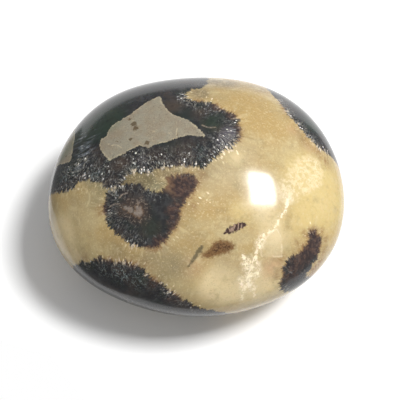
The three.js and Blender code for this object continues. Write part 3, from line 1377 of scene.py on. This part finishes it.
@dataclass
class CalciteGrain(Mineral):
    """The calcite's fine grain and its thin pale veins."""

    cream: tuple = CREAM
    shade: tuple = SHADE
    light_grain: Mottle = Mottle(0.4, Step(0.52, 0.72, most=0.66), 3.0, 0.7)
    dark_grain: Mottle = Mottle(0.34, Step(0.47, 0.27, most=0.42), 3.0, 0.7)
    clearing: float = 0.7
    vein_wobble: Wobble = Wobble(0.5, 0.6, rough=0.5)
    vein_width: Step = Step(0.35, 0.05, most=0.45)

    def lay(self) -> None:
        """Lays the grain, with less of the dark grain in the pale parts, and then the veins."""
        ground, place = self.ground, self.ground.place
        clear = 1 - ground["pale"].capped() * self.clearing
        self.coat(self.light_grain.on(place), self.cream)
        self.coat(self.dark_grain.on(place) * clear, self.shade)
        self.coat(self.vein_width.of(ground["vein"] + self.vein_wobble.on(place)), self.cream)


@dataclass
class ChalkySeam(Mineral):
    """The healed crack with its chalky lace, the clouds beside it and one cleavage plane."""

    chalk: tuple = paint(246, 232, 202)
    pane_fill: Step = Step(-0.05, 0.05, most=0.12)
    pane_edge: Step = Step(0.32, 0.05, most=0.3)
    pane_gaps: Mottle = Mottle(0.9, Step(0.4, 0.6))
    lace: Threads = Threads(1.9, 0.06, 3.0, 0.8)
    lace_knots: Mottle = Mottle(0.9, Step(0.5, 0.62), 3.0)
    cloud_wobble: Wobble = Wobble(2.0, 1.4)
    cloud_edge: Step = Step(-0.9, 0.9)
    cloud_milk: float = 0.1
    cloud_lace: float = 0.34
    rim_depth: float = 0.2
    rim_width: Step = Step(0.9, 0.1, most=0.24)
    rim_gaps: Mottle = Mottle(1.2, Step(0.42, 0.6), 3.0)
    crack_wobble: Wobble = Wobble(1.9, 0.9, 3.0, 0.65)
    net: Threads = Threads(0.9, 0.055)
    net_knots: Mottle = Mottle(0.42, Step(0.54, 0.64))
    net_milk: float = 0.24
    net_lace: float = 0.5
    net_reach: Step = Step(1.7, 0.2)
    spur_step: Step = Step(0.1, 0.8)
    halo: Step = Step(1.4, 0.2, most=0.12)
    thread_width: Step = Step(0.36, 0.08, most=0.9)
    thread_gaps: Mottle = Mottle(0.6, Step(0.36, 0.52))
    bead_width: Step = Step(0.55, 0.2, most=0.7)
    bead_gaps: Mottle = Mottle(0.42, Step(0.52, 0.62))

    def lay(self) -> None:
        """Lays the cleavage plane, the clouds and the crack."""
        self.lay_pane()
        self.lay_clouds()
        self.lay_crack()

    def lay_pane(self) -> None:
        """Lays the cleavage plane, a faint sheet with a broken bright edge."""
        pane = self.ground["pane"]
        self.coat(self.pane_fill.of(pane), self.chalk)
        self.coat(self.pane_edge.of(abs(pane)) * self.pane_gaps.on(self.ground.place), self.chalk)

    def lay_clouds(self) -> None:
        """Lays the clouds, each with lace inside it and a broken rim."""
        place = self.ground.place
        lace = self.lace.on(place).greater(self.lace_knots.on(place))
        cloud = self.ground["cloud"] + self.cloud_wobble.on(place)
        body = self.cloud_edge.of(cloud) * (lace * self.cloud_lace + self.cloud_milk)
        rim = self.rim_width.of(abs(cloud - self.rim_depth)) * self.rim_gaps.on(place)
        self.coat(body.greater(rim), self.chalk)

    def lay_crack(self) -> None:
        """Lays the net beside the crack, and then the crack's own thread and beads."""
        place = self.ground.place
        away = self.ground["crack"] + self.crack_wobble.on(place)
        net = self.net.on(place).greater(self.net_knots.on(place)) * self.net_lace + self.net_milk
        beside = self.net_reach.of(away) * self.spur_step.of(self.ground["spur"]) * net
        self.coat(self.halo.of(away).greater(beside), self.chalk)
        thread = self.thread_width.of(away) * self.thread_gaps.on(place)
        beads = self.bead_width.of(away) * self.bead_gaps.on(place)
        self.coat(thread.greater(beads), self.chalk)


@dataclass
class LooseCrystals(Mineral):
    """The few small crystals that lie loose in the calcite."""

    drop: tuple = paint(112, 78, 42)
    drop_dark: tuple = paint(76, 52, 32)
    dash: tuple = paint(62, 42, 36)
    dash_bar: tuple = paint(184, 156, 134)
    sliver: tuple = paint(88, 78, 56)
    wobble: Wobble = Wobble(1.6, 0.5)
    neatness: float = 0.6
    drop_edge: Step = Step(-0.5, 0.4, most=0.92)
    drop_heart: Step = Step(0.1, 1.1)
    drop_patches: Mottle = Mottle(0.4, Step(0.4, 0.6))
    dash_edge: Step = Step(-0.15, 0.15)
    bar_length: float = 0.3
    bars: Mottle = Mottle(0.34, Step(0.52, 0.66, most=0.6), 1.0, 0.5)
    sliver_edge: Step = Step(-0.3, 0.2, most=0.85)

    def lay(self) -> None:
        """Lays the amber drops, the barred dash and the sliver."""
        ground, place = self.ground, self.ground.place
        ragged = self.wobble.on(place)
        neat = ragged * self.neatness
        drop = ground["drop"] + ragged
        self.coat(self.drop_edge.of(drop), self.drop)
        self.coat(self.drop_heart.of(drop) * self.drop_patches.on(place), self.drop_dark)
        dash = self.dash_edge.of(ground["dash"] + neat)
        x, y, z = place.parts()
        bars = self.bars.on(ground.graph.arrow(x, y * self.bar_length, z * self.bar_length))
        self.coat(dash, self.dash)
        self.coat(dash * bars, self.dash_bar)
        self.coat(self.sliver_edge.of(ground["sliver"] + neat), self.sliver)


@dataclass
class CrystalBody(Mineral):
    """The dark body of the crystals, with its green, brown and rusty parts."""

    ink: tuple = paint(35, 35, 37)
    bottle: tuple = paint(30, 42, 36)
    umber: tuple = UMBER
    slate: tuple = paint(66, 66, 66)
    rust: tuple = paint(86, 64, 54)
    rust_dark: tuple = paint(54, 42, 41)
    tints: tuple = (
        ("green", paint(34, 50, 38)),
        ("umber", UMBER),
        ("mauve", paint(92, 88, 94)),
        ("ember", EMBER),
    )
    hue: Noise = Noise(4.2, rough=0.5)
    brown_parts: Step = Step(0.5, 0.64, most=0.4)
    green_parts: Step = Step(0.47, 0.38, most=0.5)
    slaty: Mottle = Mottle(1.5, Step(0.46, 0.7, most=0.5), 3.0)
    tint_wobble: Wobble = Wobble(0.6, 1.4)
    tint_step: Step = Step(0.1, 0.9, most=0.8)
    russet: Mottle = Mottle(0.9, Step(0.42, 0.66))
    rust_wobble: Wobble = Wobble(0.9, 1.1, 3.0)
    rust_step: Step = Step(0.3, 0.8)

    def lay(self) -> None:
        """Lays the body's coats."""
        ground, place = self.ground, self.ground.place
        hue = self.hue.on(place)
        self.colour = self.ink
        self.coat(self.brown_parts.of(hue), self.umber)
        self.coat(self.green_parts.of(hue), self.bottle)
        self.coat(self.slaty.on(place), self.slate)
        ragged = self.tint_wobble.on(place) + 1
        for name, tint in self.tints:
            self.coat(self.tint_step.of(ground[name] * ragged), tint)
        russet = ground.graph.blend(self.russet.on(place), self.rust_dark, self.rust)
        self.coat(self.rust_step.of(ground["rust"] + self.rust_wobble.on(place)), russet)


@dataclass
class CrystalNeedles(Mineral):
    """The needles that stand square to the crystals' edge, with painted glints where light would catch them.
    """

    pit: tuple = paint(10, 10, 12)
    needle: tuple = paint(172, 168, 156)
    frost: tuple = FROST
    glint: tuple = paint(255, 252, 244)
    frosty: Mottle = Mottle(1.0, Step(0.42, 0.6, 0.255, 0.85), 3.0)
    calm: Step = Step(0.2, 0.7, 1.0, 0.25)
    outer_reach: Step = Step(3.4, 0.3)
    outer_patches: Mottle = Mottle(1.8, Step(0.42, 0.64, 0.06, 0.36))
    inner_reach: Step = Step(2.0, 5.0, most=0.3)
    inner_patches: Mottle = Mottle(4.0, Step(0.5, 0.62))
    inner_height: Step = Step(20.0, 15.0)
    strands: Needles = Needles(0.3, 0.46)
    strand_gaps: Step = Step(0.48, 0.36, most=0.3)
    strand_backs: Step = Step(0.55, 0.68, most=0.6)
    hairs: Threads = Threads(0.9, 0.05, strength=0.5)
    hair_stretch: float = 0.7
    splinters: Needles = Needles(0.45, 0.3, 1.0, 0.5)
    splinter_backs: Step = Step(0.6, 0.7, most=0.8)
    # Painted glints on the needles, stronger where the needles are lively.
    glint_flecks: Flecks = Flecks(0.55, 0.48, 0.17, 0.36)
    glint_step: Step = Step(0.14, 0.56)

    def lively(self) -> Term:
        """How much the needles and their painted glints show.

        Returns:
            A strength that is greatest where there is frost, and small on rust and on the crown.
        """
        ground, place, depth = self.ground, self.ground.place, self.depth
        frost = ground["frost"].capped() * self.frosty.on(place)
        outer = self.outer_reach.of(depth) * self.outer_patches.on(place) * self.calm.of(ground["rust"])
        low = self.inner_height.of(place.parts()[2])
        inner = self.inner_reach.of(depth) * self.inner_patches.on(place) * low
        return inner + outer + frost

    def lay(self) -> None:
        """Lays the gaps between the needles, the needles, the splinters and the painted glints."""
        ground = self.ground
        lively = self.lively()
        strands = self.strands.on(ground)
        self.coat(self.strand_gaps.of(strands) * (lively + 1), self.pit)
        self.coat(self.strand_backs.of(strands) * lively, self.needle)
        self.coat(self.hairs.on(ground.along(self.hair_stretch)) * lively, self.needle)
        self.coat(self.splinter_backs.of(self.splinters.on(ground)) * lively, self.frost)
        # Lays the painted glints.
        self.coat(self.glint_flecks.on(ground) * self.glint_step.of(lively), self.glint)


@dataclass
class RustyEdge(Mineral):
    """The lighter brown along the rusty edges of the dark crystals."""

    ember: tuple = EMBER
    patches: Mottle = Mottle(1.4, Step(0.4, 0.6, most=0.35))
    rust_step: Step = Step(0.1, 0.7)
    reach: Step = Step(0.8, 0.0, most=0.6)
    gaps: Mottle = Mottle(0.45, Step(0.34, 0.56))

    def lay(self) -> None:
        """Lays the one coat."""
        place = self.ground.place
        rusty = self.rust_step.of(self.ground["rust"] + self.patches.on(place))
        self.coat(self.reach.of(self.depth) * rusty * self.gaps.on(place), self.ember)


@dataclass
class CombedFibres(Mineral):
    """Fibres that all lean one way, and a lace of tiny rings, in a few places of the dark crystals.

    lean: how far the fibres are turned from the X axis, in degrees.
    rise: how much of Y and of Z goes up the stone's face.
    length: how slowly they change along their length, with 1 for as fast as across it.
    """

    steel: tuple = paint(112, 118, 124)
    frost: tuple = FROST
    teal: tuple = paint(150, 164, 160)
    lean: float = 25.0
    rise: tuple[float, float] = (0.88, 0.47)
    length: float = 0.2
    fibres: Noise = Noise(0.62)
    patches: Mottle = Mottle(1.8, Step(0.4, 0.58, least=0.4))
    steel_step: Step = Step(0.48, 0.6, most=0.7)
    frost_step: Step = Step(0.6, 0.68, most=0.8)
    frost_patches: Mottle = Mottle(0.9, Step(0.46, 0.58))
    rings: Threads = Threads(0.62, 0.07, 1.0, 0.75)
    ring_patches: Mottle = Mottle(0.9, Step(0.4, 0.56))

    def lay(self) -> None:
        """Lays the fibres, which are turned by their lean on the stone's face, and the rings."""
        ground, place = self.ground, self.ground.place
        x, y, z = place.parts()
        up = y * self.rise[0] + z * self.rise[1]
        lean = math.radians(self.lean)
        along = x * math.cos(lean) + up * math.sin(lean)
        across = up * math.cos(lean) - x * math.sin(lean)
        fibres = self.fibres.on(ground.graph.arrow(along * self.length, across, 0.0))
        combed = ground["comb"].capped() * self.patches.on(place)
        self.coat(self.steel_step.of(fibres) * combed, self.steel)
        self.coat(self.frost_step.of(fibres) * combed * self.frost_patches.on(place), self.frost)
        self.coat(self.rings.on(place) * self.ring_patches.on(place) * ground["lace"].capped(), self.teal)


@dataclass
class DiscHeart(Mineral):
    """The brown middle of the round patch, its two grey crystals and the pale curls about it."""

    umber: tuple = UMBER
    ember: tuple = EMBER
    heart: tuple = paint(134, 124, 114)
    curl: tuple = paint(176, 158, 140)
    wobble: Wobble = Wobble(0.8, 0.5)
    brown_reach: Step = Step(-2.4, 0.0, most=0.6)
    rim: Step = Step(-0.6, -0.1, most=0.5)
    rim_gaps: Mottle = Mottle(0.7, Step(0.42, 0.58))
    loops: Threads = Threads(0.8, 0.06, 1.0, 0.4)
    loop_patches: Mottle = Mottle(1.1, Step(0.44, 0.58))
    loop_reach: Step = Step(-2.4, -1.0)
    crystal_edge: Step = Step(-0.2, 0.2)
    crystal_patches: Mottle = Mottle(0.6, Step(0.4, 0.6, 0.6, 0.95))
    curl_wobble: Wobble = Wobble(0.5, 0.5)
    curl_width: Step = Step(0.26, 0.06)
    curl_patches: Mottle = Mottle(0.5, Step(0.4, 0.6, 0.2, 0.7))

    def lay(self) -> None:
        """Lays the brown, the rim, the loops, the two crystals and the curls."""
        ground, place = self.ground, self.ground.place
        core = ground["disc_core"] + self.wobble.on(place)
        self.coat(self.brown_reach.of(core), self.umber)
        self.coat(self.rim.of(core) * self.rim_gaps.on(place), self.ember)
        loops = self.loops.on(place) * self.loop_patches.on(place)
        self.coat(self.loop_reach.of(core) * loops, self.curl)
        self.coat(self.crystal_edge.of(core) * self.crystal_patches.on(place), self.heart)
        curl = self.curl_width.of(ground["curl"] + self.curl_wobble.on(place))
        self.coat(curl * self.curl_patches.on(place), self.curl)


@dataclass
class Bristles(Mineral):
    """Pale bristles that cross the crystals' edge here and there."""

    cream: tuple = paint(222, 206, 182)
    strokes: Needles = Needles(0.3, 0.62, rough=0.55)
    stroke_step: Step = Step(0.55, 0.63)
    outer_end: Step = Step(-0.9, -0.2)
    inner_end: Step = Step(1.5, 0.4)
    patches: Mottle = Mottle(0.8, Step(0.4, 0.56, 0.3, 0.95))

    def lay(self) -> None:
        """Lays the one coat."""
        reach = self.outer_end.of(self.depth) * self.inner_end.of(self.depth)
        where = reach * self.ground["bristle"].capped() * self.patches.on(self.ground.place)
        self.coat(self.stroke_step.of(self.strokes.on(self.ground)) * where, self.cream)


@dataclass
class Claystone(Mineral):
    """The grey clay that the stone grew round: fine-grained and matt, with a pale line along its edge."""

    clay: tuple = paint(141, 135, 118)
    warm: tuple = paint(138, 127, 108)
    moss: tuple = paint(124, 124, 104)
    light: tuple = paint(172, 162, 140)
    dark: tuple = paint(92, 82, 64)
    stain: tuple = paint(84, 68, 46)
    line: tuple = paint(186, 174, 146)
    warm_patches: Mottle = Mottle(2.6, Step(0.38, 0.64), 3.0)
    moss_step: Step = Step(0.3, 0.9)
    light_grain: Mottle = Mottle(0.3, Step(0.5, 0.74, most=0.4))
    dark_grain: Mottle = Mottle(0.26, Step(0.48, 0.28, most=0.4))
    scratches: Threads = Threads(2.2, 0.012, 1.0, 0.5)
    scratch_patches: Mottle = Mottle(1.2, Step(0.45, 0.6))
    vein_wobble: Wobble = Wobble(0.4, 0.6, rough=0.5)
    vein_width: Step = Step(0.2, 0.06, most=0.6)
    spots: Mottle = Mottle(0.9, Step(0.66, 0.72, most=0.75), 1.0)
    spot_patches: Mottle = Mottle(3.5, Step(0.45, 0.6))
    stain_wobble: Wobble = Wobble(1.2, 0.4)
    stain_step: Step = Step(0.35, 0.7, most=0.85)
    edge_width: Step = Step(0.42, 0.1, most=0.65)
    edge_gaps: Mottle = Mottle(1.0, Step(0.4, 0.58))

    def lay(self) -> None:
        """Lays the clay's coats."""
        ground, place = self.ground, self.ground.place
        self.colour = self.clay
        self.coat(self.warm_patches.on(place), self.warm)
        self.coat(self.moss_step.of(ground["green"]), self.moss)
        self.coat(self.light_grain.on(place), self.light)
        self.coat(self.dark_grain.on(place), self.dark)
        scratches = self.scratches.on(place) * self.scratch_patches.on(place)
        vein = self.vein_width.of(ground["vein"] + self.vein_wobble.on(place))
        self.coat(scratches.greater(vein), self.line)
        spots = self.spots.on(place) * self.spot_patches.on(place)
        blots = self.stain_step.of(ground["stain"] + self.stain_wobble.on(place))
        self.coat(spots.greater(blots), self.stain)
        self.coat(self.edge_width.of(self.depth) * self.edge_gaps.on(place), self.line)


@dataclass(frozen=True)
class Polish:
    """The stone's finish: every mineral under one clear polish.

    calcite, crystals: the coats of the pale stone and of the dark crystals, from the first to the last.
    teeth, grit, clay_wobble: what makes the minerals' edges ragged. The clay's edge has a share of the grit.
    rusty_teeth: how much of the teeth is left as rust grows.
    gloss, clay_dullness, unevenness: the roughness, what clay adds to it, and how much it varies.
    glow, glow_depth, glow_spread: how much light goes into the stone, how deep in millimetres, and the share
        of that depth for red, green and blue.
    skin, clay_skin: the finest relief, everywhere and on clay, with its depth in millimetres.
    """

    slot: str = "septarian_stone"
    calcite: tuple[type[Mineral], ...] = (CalciteBody, CalciteFans, CalciteGrain, ChalkySeam, LooseCrystals)
    crystals: tuple[type[Mineral], ...] = (CrystalBody, CrystalNeedles, RustyEdge, CombedFibres, DiscHeart)
    teeth: tuple[Wobble, Wobble] = (Wobble(1.4, 1.0, 1.0, 0.5), Wobble(1.6, 0.42, 1.0, 0.5))
    grit: Wobble = Wobble(1.2, 0.3)
    rusty_teeth: Step = Step(0.2, 0.8, 1.0, 0.55)
    crystal_edge: Step = Step(-0.28, 0.26)
    clay_wobble: Wobble = Wobble(1.0, 0.9, 3.0)
    clay_grit: float = 0.45
    clay_edge: Step = Step(-0.08, 0.08)
    gloss: float = 0.12
    clay_dullness: float = 0.1
    unevenness: float = 0.06
    uneven_noise: Noise = Noise(3.0, rough=0.5)
    refraction: float = 1.47
    glow: float = 0.3
    glow_depth: float = 2.2
    glow_spread: tuple[float, float, float] = (1.0, 0.65, 0.3)
    skin: Noise = Noise(0.5, 3.0)
    skin_share: float = 0.4
    clay_skin: Noise = Noise(0.25)
    skin_depth: float = 0.03
    skin_strength: float = 0.25

    def minerals(self, ground: Ground) -> tuple[Arrow, Term]:
        """The colour of whichever mineral lies at a point.

        Args:
            ground: the point.

        Returns:
            The colour, and how far the point is in the clay, from 0 to 1.
        """
        broad, fine = (teeth.on(ground.foot) for teeth in self.teeth)
        grit = self.grit.on(ground.place)
        edge = ground["dark"] + (broad + fine) * self.rusty_teeth.of(ground["rust"]) + grit
        calcite = dark = ()
        for mineral in self.calcite:
            calcite = mineral(ground, edge, calcite).finished()
        for mineral in self.crystals:
            dark = mineral(ground, edge, dark).finished()
        colour = ground.graph.blend(self.crystal_edge.of(edge), calcite, dark)
        colour = Bristles(ground, edge, colour).finished()
        core = ground["core"] + self.clay_wobble.on(ground.place) + grit * self.clay_grit
        in_clay = self.clay_edge.of(core)
        return ground.graph.blend(in_clay, colour, Claystone(ground, core).finished()), in_clay

    def material(self) -> bpy.types.Material:
        """Builds the material.

        Returns:
            The material, ready for the stone.
        """
        material = bpy.data.materials.new("polished_septarian")
        material.use_nodes = True
        graph = Graph(material.node_tree)
        ground = Ground(graph)
        colour, in_clay = self.minerals(ground)
        uneven = self.uneven_noise.on(ground.place) * self.unevenness
        skin = self.skin.on(ground.place) * self.skin_share + in_clay * self.clay_skin.on(ground.place)
        bump = graph.node("ShaderNodeBump", {}, {
            "Strength": self.skin_strength, "Distance": self.skin_depth * MM, "Height": skin})
        shader = graph.node("ShaderNodeBsdfPrincipled", {"subsurface_method": "RANDOM_WALK"}, {
            "Base Color": colour,
            "Roughness": in_clay * self.clay_dullness + uneven + self.gloss,
            "IOR": self.refraction,
            "Normal": bump.outputs["Normal"],
            "Subsurface Weight": self.glow,
            "Subsurface Radius": self.glow_spread,
            "Subsurface Scale": self.glow_depth * MM,
        })
        graph.node("ShaderNodeOutputMaterial", {}, {"Surface": shader.outputs[0]})
        return material


# ---------------------------------------------------------------- the pebble


@dataclass
class Pebble:
    """The whole stone."""

    node: str = "pebble"
    polish: Polish = field(default_factory=Polish)
    markings: Markings = field(default_factory=Markings)

    def build(self) -> bpy.types.Object:
        """Makes the stone and hands it to the frame.

        Returns:
            The stone's object.
        """
        low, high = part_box(self.node)
        form = Form(low, high)
        stone = form.mesh("polished_pebble", self.polish.material())
        self.markings.lay(stone)
        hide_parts(self.node)
        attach(stone, "root")
        log.info("%s: %d points, %d faces", stone.name, len(stone.data.vertices), len(stone.data.polygons))
        return stone


def main() -> None:
    """Builds the studio and the stone."""
    logging.basicConfig(level=logging.INFO, format="%(name)s: %(message)s")
    Studio().build()
    Pebble().build()


if __name__ == "__main__":
    main()
